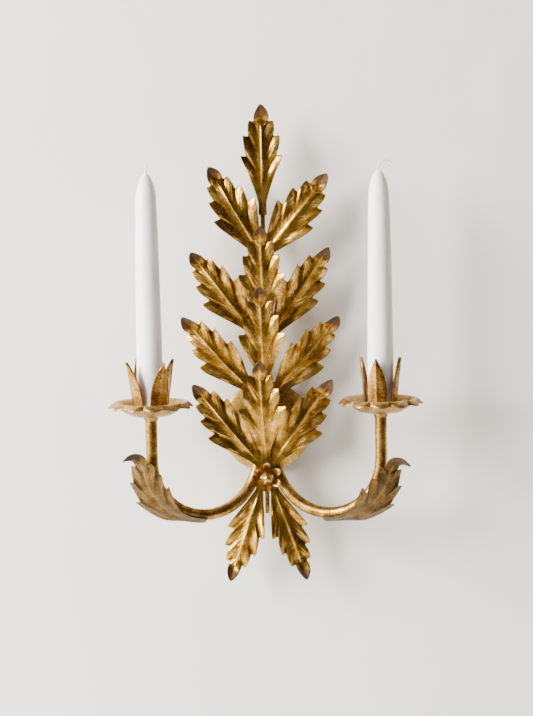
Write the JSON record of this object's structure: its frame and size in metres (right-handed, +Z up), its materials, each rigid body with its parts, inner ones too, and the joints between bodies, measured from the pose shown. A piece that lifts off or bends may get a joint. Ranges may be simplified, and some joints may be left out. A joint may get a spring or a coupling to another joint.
{
  "type": "wall sconce candle holder",
  "caption": "Gilt steel wall sconce of stamped acanthus leaves on a bar, with two swept tube arms carrying scalloped drip pans, petal cups and taper candles.",
  "frame": {"origin": "centre of the keyhole's entry hole in the hanging strap, on the wall plane", "axes": "+Y points into the wall, +Z is up along the spine, +X is the viewer's right; the front faces -Y"},
  "size_m": [0.2665, 0.1009, 0.4137],
  "materials": {
    "gilt_leaf": "antique gold leaf paint, worn, satin",
    "gilt_tube": "antique gold paint with brown patina, satin",
    "gilt_dark": "thin dull gold over dark steel",
    "plain_steel": "plain mild steel, dull",
    "wax": "white candle wax, soft sheen",
    "wick": "braided cotton"
  },
  "bodies": {
    "sconce": {"backplate": "gilt_dark", "hanging_strap": "plain_steel", "backplate_spacer": "plain_steel", "spine": "gilt_dark", "cross_plate": "gilt_dark", "top_leaf": "gilt_leaf", "upper_side_leaf_left": "gilt_leaf", "upper_side_leaf_right": "gilt_leaf", "centre_leaf_upper": "gilt_leaf", "second_side_leaf_left": "gilt_leaf", "second_side_leaf_right": "gilt_leaf", "centre_leaf_middle": "gilt_leaf", "third_side_leaf_left": "gilt_leaf", "third_side_leaf_right": "gilt_leaf", "centre_leaf_lower": "gilt_leaf", "fourth_side_leaf_left": "gilt_leaf", "fourth_side_leaf_right": "gilt_leaf", "bottom_leaf_left": "gilt_leaf", "bottom_leaf_right": "gilt_leaf", "rosette": "gilt_leaf", "bud_nut": "gilt_leaf", "rosette_stud": "plain_steel", "arm_left": "gilt_tube", "arm_right": "gilt_tube", "arm_leaf_left": "gilt_dark", "arm_leaf_right": "gilt_dark", "pan_collars": "gilt_tube", "tube_inserts": "plain_steel", "cup_screws": "plain_steel", "drip_pan_left": "gilt_tube", "drip_pan_right": "gilt_tube", "petal_cup_left": "gilt_tube", "petal_cup_right": "gilt_tube"},
    "candle_left": {"candle_left": "wax", "wick_left": "wick"},
    "candle_right": {"candle_right": "wax", "wick_right": "wick"}
  },
  "joints": [
    {"name": "candle_left_lift", "type": "slide", "parent": "sconce", "child": "candle_left", "axis": [0, 0, 1], "range_m": [0, 0.06]},
    {"name": "candle_right_lift", "type": "slide", "parent": "sconce", "child": "candle_right", "axis": [0, 0, 1], "range_m": [0, 0.06]}
  ]
}
